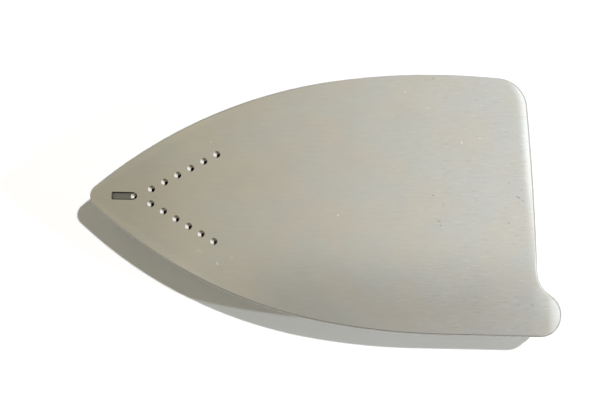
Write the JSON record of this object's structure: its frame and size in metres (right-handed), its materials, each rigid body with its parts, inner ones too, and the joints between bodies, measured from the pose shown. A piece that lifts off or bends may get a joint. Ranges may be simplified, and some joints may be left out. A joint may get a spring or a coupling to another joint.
{
  "type": "iron soleplate",
  "caption": "Pointed cast plate with a flat ironing face, rounded edge, steam ports in a V near the nose and an ear at one heel corner; chambered back with tapped bosses.",
  "frame": {"origin": "centre of the plate's box in X and Y, on the machined back face that the plate lies on", "axes": "+X from the nose to the heel, +Z out of the ironing face, the ear at the heel corner on the -Y side"},
  "size_m": [0.21, 0.117, 0.016],
  "materials": {
    "cast_aluminium": "brushed"
  },
  "bodies": {
    "root": {"soleplate": "cast_aluminium"}
  },
  "joints": []
}
